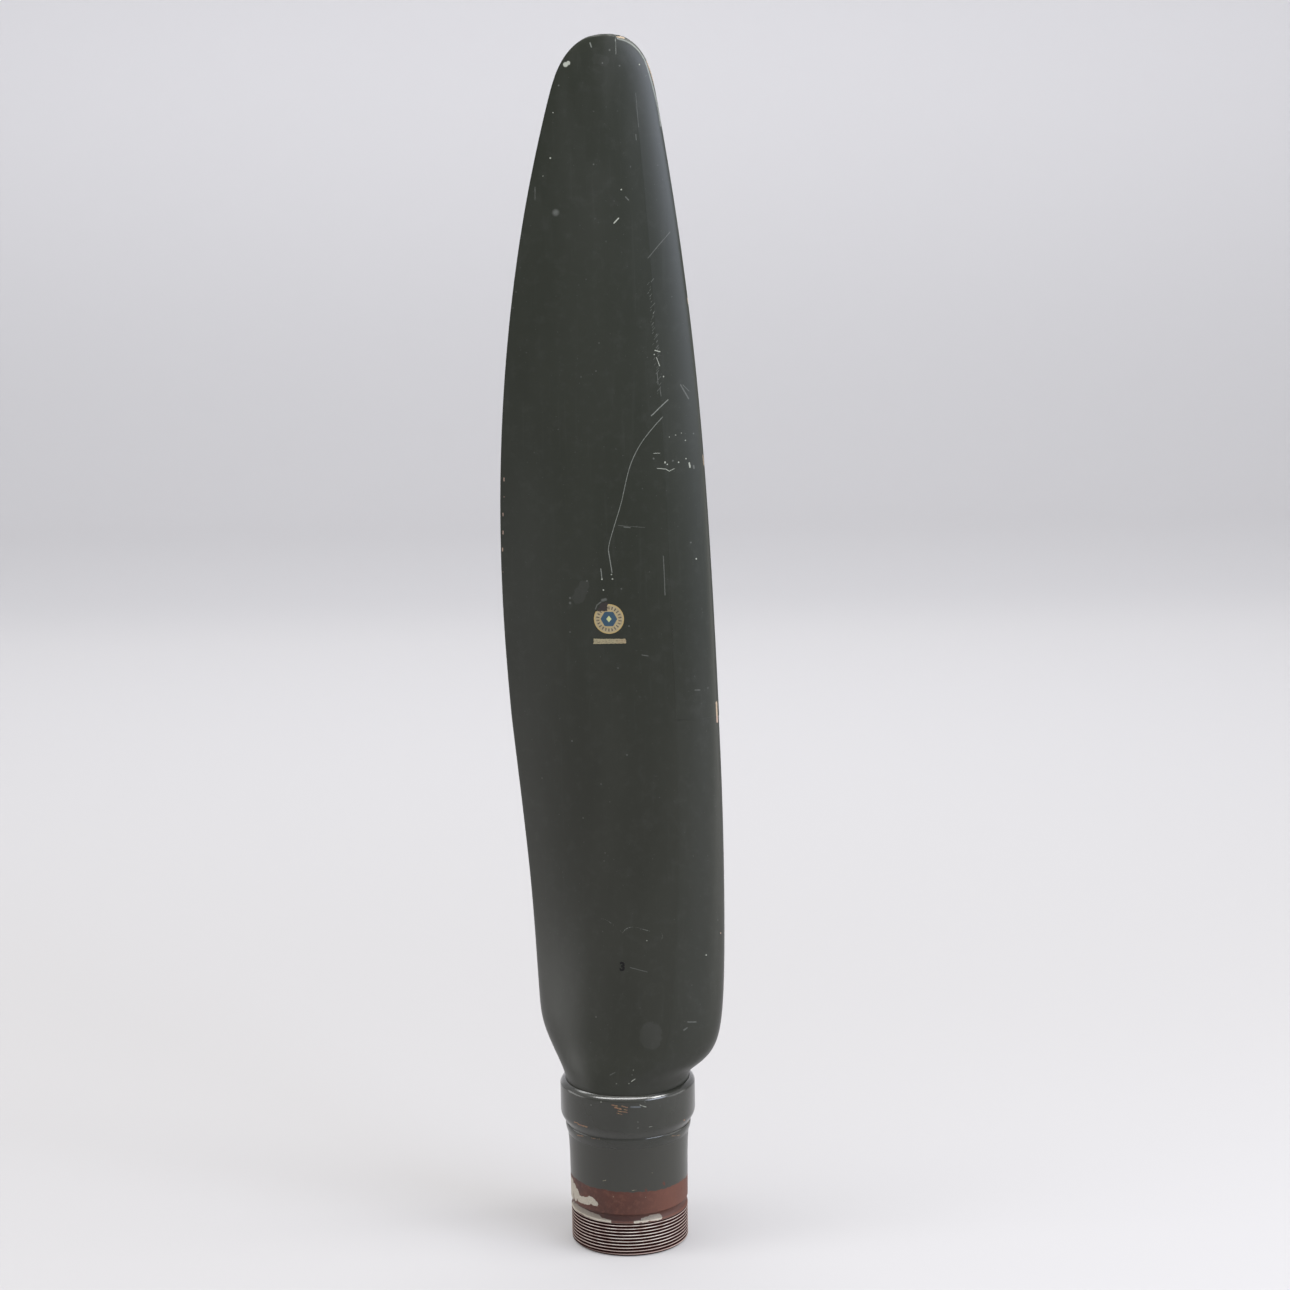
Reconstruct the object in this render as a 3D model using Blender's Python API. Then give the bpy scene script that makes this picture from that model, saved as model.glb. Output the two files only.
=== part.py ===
# One blade of a variable-pitch wooden propeller, standing on its threaded root ferrule.
# Metres, +Z up the pitch axis, origin at the centre of the root end, leading edge towards +X.
# The cambered side faces -Y. Lengths below are in millimetres and turn to metres in the meshes.

import math

import bmesh
import bpy
import numpy as np

MM = 0.001
GAP = 0.3                    # clearance between pieces that touch

# Blade, stations as heights above the root end
NECK_TOP = 204.0             # the round neck leaves the collar here
BLADE_TOP = 1431.0
NECK_RADIUS = 73.7
LEADING_EDGE = [(204, 73.7), (210, 74.4), (215, 76.7), (221, 80.8), (228, 88.4), (240, 99.4),
                (257, 107.8), (285, 113.2), (340, 116.8), (420, 118.3), (540, 117.6), (660, 114.0),
                (780, 109.4), (900, 103.5), (1020, 95.3), (1140, 83.5), (1260, 68), (1360, 52.2),
                (1431, 41)]
TRAILING_EDGE = [(204, 73.7), (215, 77.7), (228, 84.8), (240, 91.7), (257, 99.7), (272, 103.7),
                 (290, 105.2), (340, 107.2), (420, 110.2), (540, 119.4), (660, 129.8), (780, 135.3),
                 (900, 135.2), (1020, 128.7), (1140, 115.3), (1260, 94.3), (1360, 70), (1431, 50.5)]
THICKNESS = [(204, 147.4), (225, 137.6), (250, 119), (290, 99), (350, 79), (430, 63), (540, 49),
             (680, 37.5), (840, 28), (1020, 20), (1200, 14.5), (1350, 10.5), (1431, 8)]
ROUND_UNTIL = 209.0          # sections turn from round to aerofoil between these heights
AEROFOIL_FROM = 400.0
CAMBER_RATIO = 0.33          # camber as a share of the thickness
CHORD_DROP = 0.55            # share of the camber that the chord lies behind the pitch axis
EDGE_THICKNESS = 2.4
TIP_ROUND_FROM = 1360.0
TIP_TRIM = 0.1               # chord left at the flat top, as a share of the untrimmed chord
TIP_RINGS = 9
SHOULDER_HEIGHTS = [204, 209, 214, 219, 224, 230, 236, 245, 257, 272, 290, 315, 345, 380]
STATION_STEP = 60            # spacing of the sections over the plain length of the blade

# Twist of a blade of constant geometric pitch, square to the viewer at one height
GEOMETRIC_PITCH = 2900.0
ROOT_STATION_RADIUS = 170.0  # from the propeller's axis to the root end
SQUARE_STATION = 800.0

# Leading edge sheath
SHEATH_FROM = 645.0
SHEATH_SHARE = 0.42          # the sheath ends where the tip's chord falls to this share
SHEATH_WIDTH = [(208, 44), (645, 44), (1020, 44), (1100, 43), (1180, 36), (1250, 27),
                (1340, 25), (1380, 28), (1407, 34), (1431, 34)]
SHEATH_SEAM = 7.0            # butt end of the sheath over the tip
SHEATH_CHORD_SHARES = (0.2, 0.6)  # the least and the most of a chord that the sheath covers
SHEATH_THICKNESS = 1.2
STEP_HEIGHT = 0.4            # height over which the rebate's end wall climbs
STEP_SHARE = 0.02            # share of the sheath's width kept for the rebate's side wall

# Ferrule
BORE_RADIUS = 58.0
SHANK_BOTTOM = 3.0
THREAD_PITCH = 4.0
THREAD_RADIUS = 70.0
THREAD_DEPTH = 2.3
THREAD_FROM = 4.0
THREAD_TURNS = 9
GROOVE_FROM = 41.0
GROOVE_TO = 53.0
GROOVE_DEPTH = 2.8
SLEEVE_SHOULDER = 136.2
SLEEVE_TOP = 190.0
SPIGOT_RADIUS = 71.0         # sleeve's upper part, inside the rings
SEAL_TOP = 149.5
SEAL_RADIUS = 75.0
COLLAR_RADIUS = 80.4
COLLAR_TOP = 203.4
COLLAR_ROUNDING = (5.0, 7.0)

# Plug of the balance bore
PLUG_FLANGE_RADIUS = 34.0
PLUG_RADIUS = 24.0
PLUG_DEPTH = 40.0
SPANNER_HOLE_RADIUS = 3.2
SPANNER_HOLE_OFFSET = 24.0
SPANNER_HOLE_DEPTH = 1.8

SEGMENTS = 48
SHEATH_STEPS = 7             # points over the sheath's width, each side
REAR_STEPS = 13              # points from the sheath to the trailing edge, each side


def clear_scene():
    for item in list(bpy.data.objects):
        bpy.data.objects.remove(item, do_unlink=True)


def make_material(name, color, roughness, metallic):
    material = bpy.data.materials.new(name)
    material.use_nodes = True
    shader = material.node_tree.nodes["Principled BSDF"]
    shader.inputs["Base Color"].default_value = (*color, 1.0)
    shader.inputs["Roughness"].default_value = roughness
    shader.inputs["Metallic"].default_value = metallic
    return material


def make_object(name, bm, material, sharp_angle=35.0):
    bmesh.ops.recalc_face_normals(bm, faces=bm.faces)
    mesh = bpy.data.meshes.new(name)
    bm.to_mesh(mesh)
    bm.free()
    mesh.materials.append(material)
    mesh.shade_smooth()
    mesh.set_sharp_from_angle(angle=math.radians(sharp_angle))
    item = bpy.data.objects.new(name, mesh)
    bpy.context.collection.objects.link(item)
    return item


def smooth_curve(stations, height):
    """Cubic curve through (height, value) stations, with slopes from their neighbours."""
    z = np.array([station[0] for station in stations], dtype=float)
    v = np.array([station[1] for station in stations], dtype=float)
    slopes = np.gradient(v, z)
    k = int(np.clip(np.searchsorted(z, height) - 1, 0, len(z) - 2))
    span = z[k + 1] - z[k]
    t = (height - z[k]) / span
    start = v[k] * (1 + 2 * t) * (1 - t) ** 2 + v[k + 1] * t * t * (3 - 2 * t)
    return start + span * (slopes[k] * t * (1 - t) ** 2 - slopes[k + 1] * t * t * (1 - t))


def smooth_step(value):
    value = min(max(value, 0.0), 1.0)
    return value * value * (3 - 2 * value)


def blade_angle(height):
    return math.atan2(GEOMETRIC_PITCH, 2 * math.pi * (height + ROOT_STATION_RADIUS))


def tip_share(height):
    """Share of the chord that the rounded tip leaves at a height."""
    u = max(0.0, (height - TIP_ROUND_FROM) / (BLADE_TOP - TIP_ROUND_FROM))
    return max(1 - u ** 3, 0.0) ** 0.4


def tip_height(share):
    """Height at which the rounded tip leaves a share of the chord."""
    return TIP_ROUND_FROM + (BLADE_TOP - TIP_ROUND_FROM) * (1 - share ** 2.5) ** (1 / 3)


class Section:
    """One aerofoil section: its place, chord, thickness and twist at a height."""

    def __init__(self, height):
        self.height = height
        self.twist = blade_angle(height) - blade_angle(SQUARE_STATION)
        self.aerofoil = smooth_step((height - ROUND_UNTIL) / (AEROFOIL_FROM - ROUND_UNTIL))
        share = tip_share(height)
        self.thickness = smooth_curve(THICKNESS, height) * share ** 0.6
        self.rise = CAMBER_RATIO * self.thickness * self.aerofoil
        lead = smooth_curve(LEADING_EDGE, height)
        trail = smooth_curve(TRAILING_EDGE, height)
        # The outlines are as seen, so an oval that is turned away has a longer true chord
        cosine, sine = math.cos(self.twist), math.sin(self.twist)
        seen = (lead + trail) / 2 * share
        half = math.sqrt(seen ** 2 - (self.thickness / 2 * sine) ** 2) / cosine
        middle = ((lead - trail) / 2 - CHORD_DROP * self.rise * sine) / cosine
        self.chord = 2 * half
        self.nose = middle + half
        width = min(smooth_curve(SHEATH_WIDTH, height), self.nose - SHEATH_SEAM)
        least, most = SHEATH_CHORD_SHARES
        self.sheath = min(max(width, least * self.chord), most * self.chord)

    def half_thickness(self, d):
        s = min(max(d / self.chord, 0.0), 1.0)
        rounding = 2 * math.sqrt(s * (1 - s))
        wing = 5 * (0.2969 * math.sqrt(s) - 0.1260 * s - 0.3516 * s ** 2
                    + 0.2843 * s ** 3 - 0.1036 * s ** 4)
        thin_edge = EDGE_THICKNESS / 2 * math.sqrt(rounding)
        round_part = self.thickness / 2 * rounding
        wing_part = (self.thickness - EDGE_THICKNESS) * wing + thin_edge
        return (1 - self.aerofoil) * round_part + self.aerofoil * wing_part

    def camber(self, d):
        s = min(max(d / self.chord, 0.0), 1.0)
        return self.rise * (4 * s * (1 - s) - CHORD_DROP)

    def point(self, d, side, inset=0.0, nose_shift=0.0):
        """World point at distance d behind the nose; side is 1 cambered, -1 flat, 0 between."""
        half = max(self.half_thickness(d + nose_shift) - inset, 0.0)
        along = self.nose - d - nose_shift
        out = self.camber(d + nose_shift) + side * half
        x = along * math.cos(self.twist) - out * math.sin(self.twist)
        y = -along * math.sin(self.twist) - out * math.cos(self.twist)
        return (x * MM, y * MM, self.height * MM)

    def nose_inset(self, inset):
        """How far behind the nose an inner surface starts, inset from the outer one."""
        distances = np.linspace(0.0, self.sheath, 400)
        halves = [self.half_thickness(d) for d in distances]
        return max(inset, float(np.interp(inset * 1.15, halves, distances)))


def front_distances(width):
    """Distances from the nose to a width, close together at the nose."""
    return [width * (1 - math.cos(math.pi / 2 * i / SHEATH_STEPS)) for i in range(SHEATH_STEPS + 1)]


def rear_distances(width, chord):
    """Distances from the sheath's edge to the trailing edge, close together at the end."""
    return [width + (chord - width) * math.sin(math.pi / 2 * j / REAR_STEPS)
            for j in range(REAR_STEPS + 1)]


def blade_ring(section, rebated):
    """Outline of the wood at one section, from the nose along the cambered side and back."""
    inset = SHEATH_THICKNESS + GAP if rebated else 0.0
    shift = section.nose_inset(inset) if rebated else 0.0
    width = section.sheath
    seat = width - shift if rebated else width * (1 - STEP_SHARE)
    front = [d * seat / width for d in front_distances(width)]
    rear = rear_distances(width, section.chord)
    ring = [section.point(0.0, 0, inset, shift)]
    ring += [section.point(d, 1, inset, shift) for d in front[1:]]
    ring += [section.point(d, 1) for d in rear[:-1]]
    ring += [section.point(section.chord, 0)]
    ring += [section.point(d, -1) for d in reversed(rear[:-1])]
    ring += [section.point(d, -1, inset, shift) for d in reversed(front[1:])]
    return ring


def round_ring(radius, height):
    """Circle with the same spread of points as the outline of the neck."""
    neck = Section(NECK_TOP)
    scale = radius / NECK_RADIUS
    return [(x * scale, y * scale, height * MM) for x, y, z in blade_ring(neck, False)]


def loft(bm, rings):
    """Skin between rings of equal length, and return their vertices."""
    rows = [[bm.verts.new(point) for point in ring] for ring in rings]
    count = len(rows[0])
    for low, high in zip(rows, rows[1:]):
        for i in range(count):
            j = (i + 1) % count
            bm.faces.new((low[i], high[i], high[j], low[j]))
    return rows


def blade_heights():
    """Heights of the sections below the sheath's inboard end, and of those above it."""
    first = SHOULDER_HEIGHTS[-1] + STATION_STEP
    inboard = SHOULDER_HEIGHTS + list(range(first, int(SHEATH_FROM), STATION_STEP))
    start = int(SHEATH_FROM) + STATION_STEP
    return inboard, list(range(start, int(TIP_ROUND_FROM), STATION_STEP))


def tip_shares():
    return [max(math.cos(math.pi / 2 * k / TIP_RINGS), TIP_TRIM) for k in range(TIP_RINGS + 1)]


def make_blade(material):
    inboard, outboard = blade_heights()
    plug_seat = PLUG_RADIUS + GAP
    rings = [round_ring(plug_seat, PLUG_DEPTH + GAP),
             round_ring(plug_seat, SHANK_BOTTOM),
             round_ring(BORE_RADIUS - GAP, SHANK_BOTTOM),
             round_ring(BORE_RADIUS - GAP, SLEEVE_TOP + GAP),
             round_ring(NECK_RADIUS, SLEEVE_TOP + GAP)]
    rings += [blade_ring(Section(z), False) for z in inboard]
    rings.append(blade_ring(Section(SHEATH_FROM), False))
    rings.append(blade_ring(Section(SHEATH_FROM + STEP_HEIGHT), True))
    rings += [blade_ring(Section(z), True) for z in outboard]
    for share in tip_shares():
        if share >= SHEATH_SHARE:
            rings.append(blade_ring(Section(tip_height(share)), True))
    top = tip_height(SHEATH_SHARE)
    rings.append(blade_ring(Section(top), True))
    rings.append(blade_ring(Section(top + STEP_HEIGHT), False))
    for share in tip_shares():
        if share < SHEATH_SHARE * 0.8:
            rings.append(blade_ring(Section(tip_height(share)), False))
    bm = bmesh.new()
    rows = loft(bm, rings)
    bm.faces.new(rows[0])
    bm.faces.new(rows[-1])
    return make_object("blade_body", bm, material)


def sheath_ring(section):
    """Folded sheet at one section: outside from back to front, then inside on the way back."""
    width = section.sheath - GAP
    shift = section.nose_inset(SHEATH_THICKNESS)
    front = front_distances(width)
    seat = (width - shift) / width
    outside = [section.point(d, -1) for d in reversed(front[1:])]
    outside += [section.point(0.0, 0)]
    outside += [section.point(d, 1) for d in front[1:]]
    inside = [section.point(d * seat, 1, SHEATH_THICKNESS, shift) for d in reversed(front[1:])]
    inside += [section.point(0.0, 0, SHEATH_THICKNESS, shift)]
    inside += [section.point(d * seat, -1, SHEATH_THICKNESS, shift) for d in front[1:]]
    return outside + inside


def make_sheath(material):
    outboard = blade_heights()[1]
    heights = [SHEATH_FROM + STEP_HEIGHT + GAP] + outboard
    heights += [tip_height(share) for share in tip_shares() if share >= SHEATH_SHARE]
    heights.append(tip_height(SHEATH_SHARE) - GAP)
    bm = bmesh.new()
    rows = loft(bm, [sheath_ring(Section(z)) for z in heights])
    count = len(rows[0])
    for row in (rows[0], rows[-1]):
        for i in range(count // 2 - 1):
            bm.faces.new((row[i], row[i + 1], row[count - 2 - i], row[count - 1 - i]))
    return make_object("leading_edge_sheath", bm, material)


def circle(radius, height, segments=SEGMENTS):
    steps = [2 * math.pi * i / segments for i in range(segments)]
    return [(radius * math.cos(a) * MM, radius * math.sin(a) * MM, height * MM) for a in steps]


def arc(center, radius, start, end, steps):
    """Points of an elliptic arc in the (radius, height) plane; angles in degrees."""
    angles = [math.radians(start + (end - start) * i / steps) for i in range(steps + 1)]
    return [(center[0] + radius[0] * math.cos(a), center[1] + radius[1] * math.sin(a))
            for a in angles]


def make_ring(name, outline, material):
    """Turned ring from a closed outline of (radius, height) points."""
    bm = bmesh.new()
    rows = loft(bm, [circle(r, z) for r, z in outline + outline[:1]])
    bmesh.ops.remove_doubles(bm, verts=rows[0] + rows[-1], dist=1e-7)
    return make_object(name, bm, material)


def thread_line(line):
    """One helical line of the thread, with its groove fading out at both ends."""
    turn, part = divmod(line, 4)
    rise = (0.0, 0.14, 0.5, 0.64)[part] * THREAD_PITCH
    depth = (0.0, 0.0, 1.0, 1.0)[part] * THREAD_DEPTH
    points = []
    for i in range(SEGMENTS):
        place = turn + i / SEGMENTS
        fade = smooth_step(place / 0.3) * smooth_step((THREAD_TURNS - place) / 0.3)
        radius = THREAD_RADIUS - depth * fade
        angle = 2 * math.pi * i / SEGMENTS
        height = THREAD_FROM + place * THREAD_PITCH + rise
        points.append((radius * math.cos(angle) * MM, radius * math.sin(angle) * MM, height * MM))
    return points


def add_thread(bm, bottom, top):
    """Skin a helical thread between two rows of vertices on the sleeve."""
    last = 4 * THREAD_TURNS
    lines = [[bm.verts.new(point) for point in thread_line(line)] for line in range(last + 1)]
    end = SEGMENTS - 1
    seam = [lines[line][0] for line in range(last + 1)]
    for line in range(last - 3, last + 1):
        place = line / 4 + 1
        height = THREAD_FROM + place * THREAD_PITCH
        seam.append(bm.verts.new((THREAD_RADIUS * MM, 0.0, height * MM)))
    for low, high in zip(range(last), range(1, last + 1)):
        for i in range(end):
            bm.faces.new((lines[low][i], lines[low][i + 1], lines[high][i + 1], lines[high][i]))
        bm.faces.new((lines[low][end], seam[low + 4], seam[high + 4], lines[high][end]))
    for i in range(1, end):
        bm.faces.new((bottom[i], bottom[i + 1], lines[0][i + 1], lines[0][i]))
        bm.faces.new((lines[last][i], lines[last][i + 1], top[i + 1], top[i]))
    bm.faces.new((bottom[0], bottom[1], lines[0][1], lines[0][0]))
    bm.faces.new([bottom[end], bottom[0]] + seam[:5] + [lines[0][end]])
    bm.faces.new([lines[last][0], lines[last][1], top[1], top[0]] + seam[:last:-1])
    bm.faces.new((lines[last][end], seam[last + 4], top[0], top[end]))


def make_sleeve(material):
    """Threaded sleeve, from the foot's inner edge up the outside and down the bore."""
    foot = [(BORE_RADIUS + 1.5, 0.0), (THREAD_RADIUS - 3.2, 0.0), (THREAD_RADIUS - 0.4, 2.6),
            (THREAD_RADIUS, 3.4)]
    middle = (GROOVE_FROM + GROOVE_TO) / 2
    half = (GROOVE_TO - GROOVE_FROM) / 2
    body = [(THREAD_RADIUS, GROOVE_FROM + 2.6)]
    body += arc((THREAD_RADIUS + 0.4, middle + 1.4), (GROOVE_DEPTH + 0.4, half - 1.4), 250, 110, 4)
    body += [(70.2, GROOVE_TO + 0.6), (70.3, 72.0), (70.7, 108.0), (71.3, 124.0),
             (72.2, SLEEVE_SHOULDER - 0.8), (71.8, SLEEVE_SHOULDER),
             (SPIGOT_RADIUS, SLEEVE_SHOULDER), (SPIGOT_RADIUS, SLEEVE_TOP),
             (BORE_RADIUS, SLEEVE_TOP), (BORE_RADIUS, 1.5), foot[0]]
    bm = bmesh.new()
    lower = loft(bm, [circle(r, z) for r, z in foot])
    upper = loft(bm, [circle(r, z) for r, z in body])
    bmesh.ops.reverse_faces(bm, faces=bm.faces)
    add_thread(bm, lower[-1], upper[0])
    bmesh.ops.remove_doubles(bm, verts=lower[0] + upper[-1], dist=1e-7)
    return make_object("ferrule_sleeve", bm, material)


def make_seal_ring(material):
    """Narrow ring with a rounded outer face, seated on the sleeve's shoulder."""
    inner = SPIGOT_RADIUS + GAP
    bottom = SLEEVE_SHOULDER + GAP
    outline = [(inner, SEAL_TOP), (inner, bottom), (72.9, bottom), (73.4, bottom + 1.8),
               (74.3, bottom + 4.6)]
    outline += arc((SEAL_RADIUS - 2.6, SEAL_TOP - 4.0), (2.6, 4.0), -15, 90, 5)
    return make_ring("ferrule_seal_ring", outline, material)


def make_collar(material):
    """Wide ring round the neck, tapered below and rounded at its upper edge."""
    inner = SPIGOT_RADIUS + GAP
    throat = NECK_RADIUS + GAP + 0.2
    bottom = SEAL_TOP + GAP
    across, up = COLLAR_ROUNDING
    outline = [(throat, COLLAR_TOP), (throat, SLEEVE_TOP), (inner, SLEEVE_TOP), (inner, bottom),
               (73.2, bottom), (73.7, bottom + 1.0), (75.4, 152.7), (77.3, 155.4), (78.9, 158.2),
               (79.9, 160.6), (COLLAR_RADIUS, 163.0)]
    outline += arc((COLLAR_RADIUS - across, COLLAR_TOP - up), (across, up), 0, 90, 6)
    return make_ring("ferrule_collar", outline, material)


def make_plug(material):
    """Flanged plug of the balance bore, with two blind holes for a pin spanner."""
    outline = [(PLUG_FLANGE_RADIUS - 0.6, 0.0), (PLUG_FLANGE_RADIUS, 0.6),
               (PLUG_FLANGE_RADIUS, SHANK_BOTTOM - GAP), (PLUG_RADIUS, SHANK_BOTTOM - GAP),
               (PLUG_RADIUS, PLUG_DEPTH)]
    bm = bmesh.new()
    rows = loft(bm, [circle(r, z) for r, z in outline])
    bm.faces.new(rows[0])
    bm.faces.new(rows[-1])
    plug = make_object("root_plug", bm, material)
    for side in (-1, 1):
        bm = bmesh.new()
        depth = SPANNER_HOLE_DEPTH
        rows = loft(bm, [circle(SPANNER_HOLE_RADIUS, z, 16) for z in (-depth, depth)])
        bm.faces.new(rows[0])
        bm.faces.new(rows[-1])
        cutter = make_object("spanner_hole_cutter", bm, material)
        cutter.location = (side * SPANNER_HOLE_OFFSET * MM, 0.0, 0.0)
        cutter.hide_render = True
        cutter.display_type = "WIRE"
        cut = plug.modifiers.new("spanner_hole", "BOOLEAN")
        cut.operation = "DIFFERENCE"
        cut.object = cutter
    return plug


def build():
    clear_scene()
    blade_paint = make_material("blade_paint", (0.042, 0.044, 0.035), 0.32, 0.0)
    sheath_paint = make_material("sheath_paint", (0.046, 0.048, 0.038), 0.3, 0.0)
    collar_paint = make_material("collar_paint", (0.06, 0.063, 0.06), 0.3, 0.0)
    sleeve_steel = make_material("sleeve_steel", (0.14, 0.05, 0.04), 0.45, 0.4)
    seal_steel = make_material("seal_steel", (0.07, 0.07, 0.066), 0.35, 0.2)
    plug_metal = make_material("plug_metal", (0.35, 0.34, 0.32), 0.4, 1.0)
    make_blade(blade_paint)
    make_sheath(sheath_paint)
    make_sleeve(sleeve_steel)
    make_seal_ring(seal_steel)
    make_collar(collar_paint)
    make_plug(plug_metal)


build()
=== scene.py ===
# Looks of a wooden propeller blade standing on its root ferrule: finishes, wear, thread and label
import math
import random

import bmesh
import bpy
from mathutils import Matrix, Vector
from mathutils.bvhtree import BVHTree
from mathutils.kdtree import KDTree


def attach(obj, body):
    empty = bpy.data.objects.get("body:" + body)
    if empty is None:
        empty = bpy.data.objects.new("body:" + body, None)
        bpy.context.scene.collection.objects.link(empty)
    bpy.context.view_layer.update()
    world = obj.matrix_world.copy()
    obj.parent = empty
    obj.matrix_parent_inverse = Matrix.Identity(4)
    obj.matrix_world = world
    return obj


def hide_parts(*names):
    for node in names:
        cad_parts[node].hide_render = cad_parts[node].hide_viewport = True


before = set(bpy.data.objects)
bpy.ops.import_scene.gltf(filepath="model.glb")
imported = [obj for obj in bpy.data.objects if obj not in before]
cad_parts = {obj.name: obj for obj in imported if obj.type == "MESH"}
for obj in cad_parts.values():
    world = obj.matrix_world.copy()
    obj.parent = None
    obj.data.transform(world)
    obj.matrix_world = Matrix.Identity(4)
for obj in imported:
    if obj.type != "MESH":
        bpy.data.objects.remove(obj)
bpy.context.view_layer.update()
print("frame loaded:", sorted(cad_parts))

mm = 0.001


def lead(value, socket, tree):  # a wire, or a plain number or colour, into a socket
    if isinstance(value, Wire):
        tree.links.new(value.socket, socket)
    elif socket.type == "RGBA":
        socket.default_value = (*value, 1.0)
    else:
        socket.default_value = value


# A socket that takes part in expressions, in shader and geometry trees alike
class Wire:
    def __init__(self, tree, socket=None):
        self.tree = tree
        self.socket = socket

    def make(self, kind, settings=None, inputs=None, output=0):
        item = self.tree.nodes.new(kind)
        for name, value in (settings or {}).items():
            setattr(item, name, value)
        for name, value in (inputs or {}).items():
            lead(value, item.inputs[name], self.tree)
        return Wire(self.tree, item.outputs[output])

    def calc(self, operation, *others):
        values = dict(enumerate((self, *others)))
        return self.make("ShaderNodeMath", {"operation": operation}, values)

    def vector(self, operation, *others, output=0):
        values = dict(enumerate((self, *others)))
        return self.make("ShaderNodeVectorMath", {"operation": operation}, values, output)

    def __add__(self, other):
        return self.calc("ADD", other)

    __radd__ = __add__

    def __sub__(self, other):
        return self.calc("SUBTRACT", other)

    def __rsub__(self, other):
        return self.make("ShaderNodeMath", {"operation": "SUBTRACT"}, {0: other, 1: self})

    def __mul__(self, other):
        return self.calc("MULTIPLY", other)

    __rmul__ = __mul__

    def __truediv__(self, other):
        return self.calc("DIVIDE", other)

    def step(self, low, high, share=1.0):  # 0 at low, the share at high, soft between
        return self.make("ShaderNodeMapRange", {"interpolation_type": "SMOOTHSTEP"},
                         {0: self, 1: low, 2: high, 4: share})

    def atLeast(self, other):
        return self.calc("MAXIMUM", other)

    def atMost(self, other):
        return self.calc("MINIMUM", other)

    def axis(self, name):
        return self.make("ShaderNodeSeparateXYZ", None, {0: self}, "XYZ".index(name))

    def stretched(self, x, y, z):  # below 1 a noise is drawn out along that axis
        return self.vector("MULTIPLY", (x, y, z))

    def fromAxis(self):  # how far the place is from the Z axis
        x, y = self.axis("X"), self.axis("Y")
        return (x * x + y * y).calc("SQRT")

    # With levels, only the noise's patches above them show
    def noise(self, scale, seed, detail, roughness, *levels, output=0):
        level = self.make("ShaderNodeTexNoise", {"noise_dimensions": "4D"},
                          {"Vector": self, "W": float(seed), "Scale": scale, "Detail": detail,
                           "Roughness": roughness}, output)
        return level.step(*levels) if levels else level

    def ragged(self, scale, amount, seed):  # the same place, shaken by a fine noise, by an amount in mm
        shake = self.noise(scale, seed, 3, 0.6, output=1).vector("SUBTRACT", (0.5, 0.5, 0.5))
        return self.vector("ADD", shake.stretched(amount * mm, amount * mm, amount * mm))

    def blend(self, first, second):  # colours, mixed by this factor
        return self.make("ShaderNodeMix", {"data_type": "RGBA"}, {0: self, 6: first, 7: second}, 2)


# A sum of parts, each by its share
def summed(parts, shares, least=0.0):
    total = least
    for name, share in shares.items():
        total = parts[name] * share + total
    return total


def linked(name, data):  # a new object in the scene
    item = bpy.data.objects.new(name, data)
    bpy.context.collection.objects.link(item)
    return item


def meshFrom(bm, name):
    mesh = bpy.data.meshes.new(name)
    bm.to_mesh(mesh)
    bm.free()
    return mesh


def welded(mesh, merge):  # an editable copy without doubled corners
    bm = bmesh.new()
    bm.from_mesh(mesh)
    bmesh.ops.remove_doubles(bm, verts=bm.verts, dist=merge)
    return bm


def finalMesh(item):  # a mesh of the object with all its modifiers
    graph = bpy.context.evaluated_depsgraph_get()
    return bpy.data.meshes.new_from_object(item.evaluated_get(graph))


def bind(piece, nodeName):
    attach(piece, "root")
    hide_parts(nodeName)


# A new material, with the place on the piece as its first wire: 3 in the object's frame, 2 on a flat map
def newMaterial(name, coordinate=3):
    material = bpy.data.materials.new(name)
    material.use_nodes = True
    tree = material.node_tree
    return material, Wire(tree).make("ShaderNodeTexCoord", output=coordinate)


# Wires and plain numbers led into the material's shader; height is a bump, depth mm from low to high
def feed(material, color, roughness, height=None, depth=0.1, **others):
    values = {"Base Color": color, "Roughness": roughness}
    values.update({name.replace("_", " "): value for name, value in others.items()})
    if height is not None:
        values["Normal"] = height.make("ShaderNodeBump", None, {"Height": height, "Distance": depth * mm})
    tree = material.node_tree
    for name, value in values.items():
        lead(value, tree.nodes["Principled BSDF"].inputs[name], tree)


def arc(center, radius, start, end, steps):
    angles = [math.radians(start + (end - start) * i / steps) for i in range(steps + 1)]
    return [(center[0] + radius[0] * math.cos(a), center[1] + radius[1] * math.sin(a)) for a in angles]


# Camera where the photographer stood: level line of sight tipped down and rolled a little
cameraView = {
    "frame": 1290, "focal": 3450, "sensor": 36, "tipDown": 12.61, "roll": 0.92,
    "distance": 3.915, "height": 1.6056, "sideways": 0.0292}


def makeCamera():
    v = cameraView
    data = bpy.data.cameras.new("photoCamera")
    data.sensor_width = v["sensor"]
    data.lens = v["focal"] / v["frame"] * data.sensor_width
    camera = linked("photoCamera", data)
    place = Matrix.Translation((v["sideways"], -v["distance"], v["height"]))
    tip = Matrix.Rotation(math.radians(90 - v["tipDown"]), 4, "X")
    roll = Matrix.Rotation(math.radians(-v["roll"]), 4, "Z")
    camera.matrix_world = place @ tip @ roll
    bpy.context.scene.camera = camera
    return camera.matrix_world.copy()


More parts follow.
